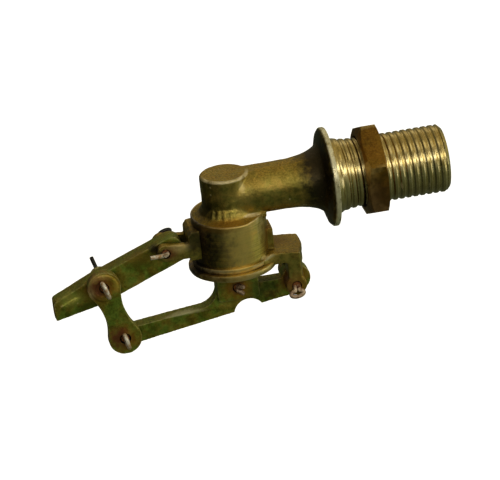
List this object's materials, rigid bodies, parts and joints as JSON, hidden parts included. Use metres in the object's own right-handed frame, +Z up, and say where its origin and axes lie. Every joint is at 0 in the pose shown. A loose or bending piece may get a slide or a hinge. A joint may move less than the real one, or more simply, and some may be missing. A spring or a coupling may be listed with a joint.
{
  "type": "float valve",
  "caption": "Brass float valve with a threaded inlet shank, back nut, upright outlet and a compound-lever linkage that lifts a rubber-faced plunger.",
  "frame": {"origin": "where the inlet thread's axis meets the flange face that seats on the inside of the tank wall", "axes": "+X along the inlet shank, out of the tank; +Z up; -Y is the side that the link plate is on"},
  "size_m": [0.125, 0.0306, 0.0599],
  "materials": {
    "cast_brass": "sand cast, dull and darkened in the hollows",
    "nut_brass": "dull brown brass",
    "turned_brass": "turned, bright",
    "lever_brass": "cast and forged, dull olive",
    "pin_metal": "drawn wire, dull",
    "disc_rubber": "moulded, matt",
    "gasket_fibre": "red fibre"
  },
  "bodies": {
    "valve": {"valve_body": "cast_brass", "back_nut": "nut_brass", "seat_nozzle": "turned_brass", "nozzle_gasket": "gasket_fibre", "float_pivot_pin": "pin_metal", "fulcrum_pin": "pin_metal"},
    "float_arm": {"float_lever": "lever_brass", "link_top_washer": "lever_brass", "link_top_pin": "pin_metal"},
    "link": {"link_plate": "lever_brass"},
    "lower_arm": {"lower_lever": "lever_brass", "link_foot_washer": "lever_brass", "link_foot_pin": "pin_metal", "plunger_pin": "pin_metal"},
    "plunger": {"plunger": "turned_brass", "seat_disc": "disc_rubber", "disc_cap": "turned_brass"}
  },
  "joints": [
    {"name": "float_pivot", "type": "hinge", "parent": "valve", "child": "float_arm", "pos_m": [-0.0538, 0, -0.0141], "axis": [0, 1, 0], "range_deg": [0, 28]},
    {"name": "link_top_pivot", "type": "hinge", "parent": "float_arm", "child": "link", "pos_m": [-0.07379, 0, -0.02173], "axis": [0, 1, 0], "range_deg": [-30.81, 0]},
    {"name": "fulcrum_pivot", "type": "hinge", "parent": "valve", "child": "lower_arm", "pos_m": [-0.015, 0, -0.031], "axis": [0, 1, 0], "range_deg": [0, 10.98]},
    {"name": "plunger_slide", "type": "slide", "parent": "valve", "child": "plunger", "axis": [0, 0, 1], "range_m": [0, 0.00338]}
  ],
  "couplings": [
    {"joint": "link_top_pivot", "follows": "float_pivot", "ratio": -1.1001},
    {"joint": "fulcrum_pivot", "follows": "float_pivot", "ratio": 0.3919},
    {"joint": "plunger_slide", "follows": "float_pivot", "m_per_rad": 0.006919}
  ]
}
